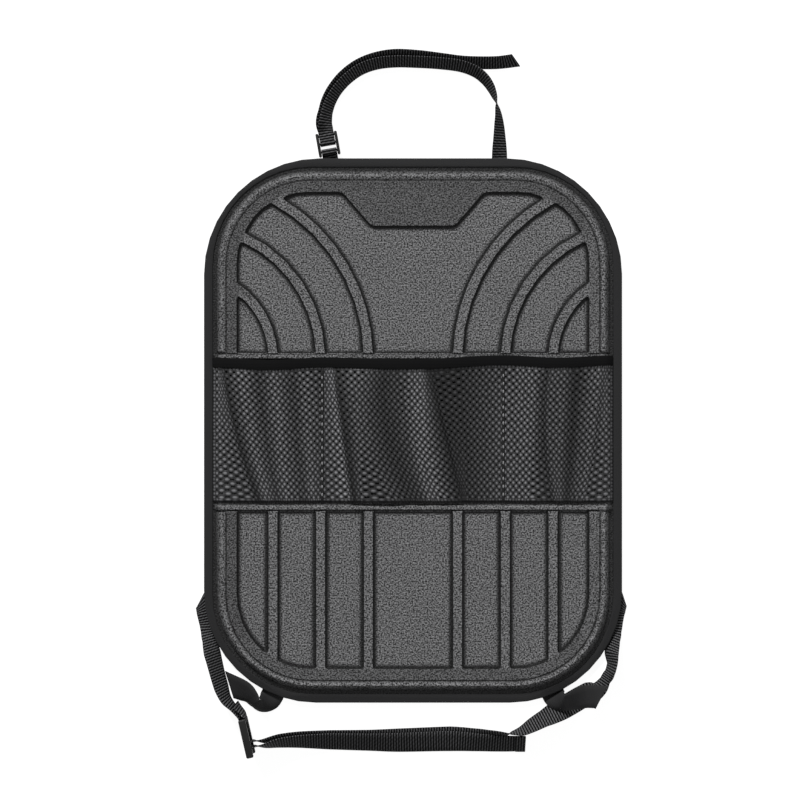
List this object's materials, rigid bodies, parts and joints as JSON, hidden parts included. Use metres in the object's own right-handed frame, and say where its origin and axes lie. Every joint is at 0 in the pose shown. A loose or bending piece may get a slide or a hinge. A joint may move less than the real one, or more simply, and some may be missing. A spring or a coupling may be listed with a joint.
{
  "type": "seat back protector",
  "caption": "Moulded seat back protector with a bound edge, a three-bay mesh pocket under elastic, and webbing straps with two ladder buckles, lying face up.",
  "frame": {"origin": "middle of the flat back face, which bears on the seat", "axes": "+X to the right and +Y towards the headrest, seen from the front; +Z out of the face"},
  "size_m": [0.4539, 0.7418, 0.0314],
  "materials": {
    "moulded_foam_cloth": "matte, fine pebbled cloth pressed over foam",
    "binding_tape": "matte woven tape",
    "knitted_net": "matte knitted net",
    "woven_elastic": "matte woven elastic",
    "webbing": "matte webbing with a faint sheen",
    "buckle_plastic": "moulded, satin"
  },
  "bodies": {
    "root": {"moulded_panel": "moulded_foam_cloth", "edge_binding": "binding_tape", "mesh_pocket": "knitted_net", "pocket_elastic": "woven_elastic", "headrest_strap": "webbing", "headrest_tab": "webbing", "headrest_buckle": "buckle_plastic", "left_corner_strap": "webbing", "left_brace_strap": "webbing", "seat_strap": "webbing", "right_brace_strap": "webbing", "seat_buckle": "buckle_plastic"}
  },
  "joints": []
}
